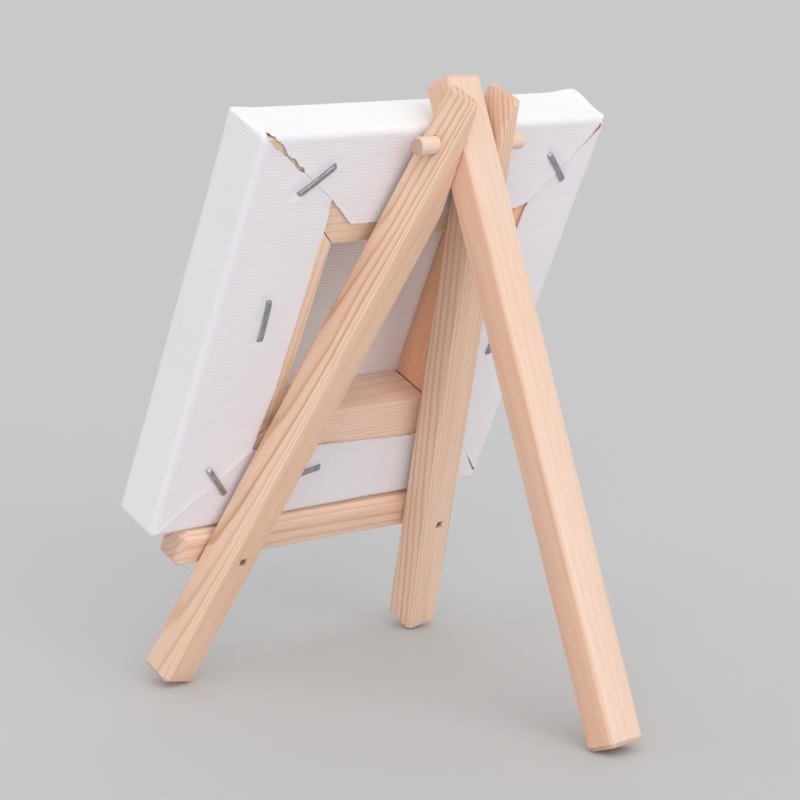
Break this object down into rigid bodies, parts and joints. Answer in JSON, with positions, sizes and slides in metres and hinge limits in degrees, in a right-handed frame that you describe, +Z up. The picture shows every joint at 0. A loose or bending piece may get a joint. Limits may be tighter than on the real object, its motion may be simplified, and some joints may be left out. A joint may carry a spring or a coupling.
{
  "type": "tabletop easel",
  "caption": "Miniature A-frame tabletop easel of square pine sticks with a hinged prop leg, carrying a small stapled stretched canvas on its ledge.",
  "frame": {"origin": "on the table, under the middle of the easel's bounding box", "axes": "+Z up; -Y the way the painted face of the canvas looks; +Y towards the foot of the prop leg; +X to the right as seen from the front"},
  "size_m": [0.1, 0.112, 0.1397],
  "materials": {
    "pine": "unfinished",
    "pale_pine": "unfinished",
    "cotton": "primed",
    "steel": "satin"
  },
  "bodies": {
    "easel_frame": {"front_leg_left": "pine", "front_leg_right": "pine", "pivot_dowel": "pale_pine", "ledge_bar": "pine", "ledge_brad_left": "steel", "ledge_brad_right": "steel"},
    "prop": {"prop_leg": "pale_pine"},
    "canvas": {"canvas_cloth": "cotton", "stretcher_bottom": "pine", "stretcher_right": "pine", "stretcher_top": "pine", "stretcher_left": "pine", "staple_top_right": "steel", "staple_right": "steel", "staple_bottom_right": "steel", "staple_bottom": "steel", "staple_bottom_left": "steel", "staple_left": "steel", "staple_top_left": "steel", "staple_top": "steel"}
  },
  "joints": [
    {"name": "prop_fold", "type": "hinge", "parent": "easel_frame", "child": "prop", "pos_m": [0, 0.00594, 0.12509], "axis": [-1, 0, 0], "range_deg": [0, 45.5]},
    {"name": "canvas_lift", "type": "slide", "parent": "easel_frame", "child": "canvas", "axis": [0, -0.9048, 0.4258], "range_m": [0, 0.06]}
  ]
}
